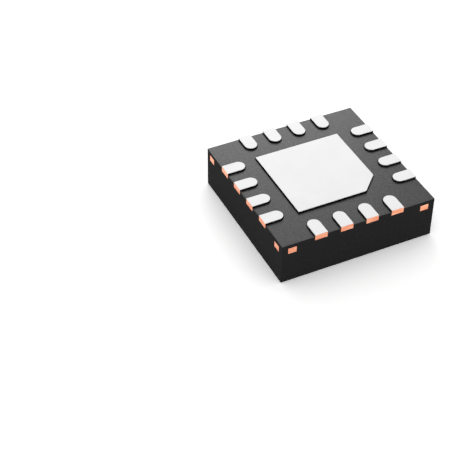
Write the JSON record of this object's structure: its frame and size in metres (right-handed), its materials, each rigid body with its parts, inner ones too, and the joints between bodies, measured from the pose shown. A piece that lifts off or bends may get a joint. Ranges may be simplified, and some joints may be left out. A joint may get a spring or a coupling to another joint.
{
  "type": "qfn chip",
  "caption": "Square leadless chip package lying solder side up: tinned heat pad with a cut corner, rows of round-tipped solder feet and sawn copper ends in a black moulding.",
  "frame": {"origin": "middle of the flat marking face, on which the chip lies", "axes": "+Z out of the solder side; X and Y along the sides, with the heat pad's cut corner towards +X and -Y"},
  "size_m": [0.003, 0.003, 0.0009],
  "materials": {
    "mould_compound": "matte",
    "copper": "satin",
    "matte_tin": "satin",
    "silicon": "gloss",
    "die_glue": "matte",
    "gold": "polished"
  },
  "bodies": {
    "root": {"mold_body": "mould_compound", "die_paddle": "copper", "pad_plating": "matte_tin", "lead_plating": "matte_tin", "die_attach": "die_glue", "die": "silicon", "lead_1": "copper", "lead_2": "copper", "lead_3": "copper", "lead_4": "copper", "lead_5": "copper", "lead_6": "copper", "lead_7": "copper", "lead_8": "copper", "lead_9": "copper", "lead_10": "copper", "lead_11": "copper", "lead_12": "copper", "lead_13": "copper", "lead_14": "copper", "lead_15": "copper", "lead_16": "copper", "bond_wire_1": "gold", "bond_wire_2": "gold", "bond_wire_3": "gold", "bond_wire_4": "gold", "bond_wire_5": "gold", "bond_wire_6": "gold", "bond_wire_7": "gold", "bond_wire_8": "gold", "bond_wire_9": "gold", "bond_wire_10": "gold", "bond_wire_11": "gold", "bond_wire_12": "gold", "bond_wire_13": "gold", "bond_wire_14": "gold", "bond_wire_15": "gold", "bond_wire_16": "gold"}
  },
  "joints": []
}
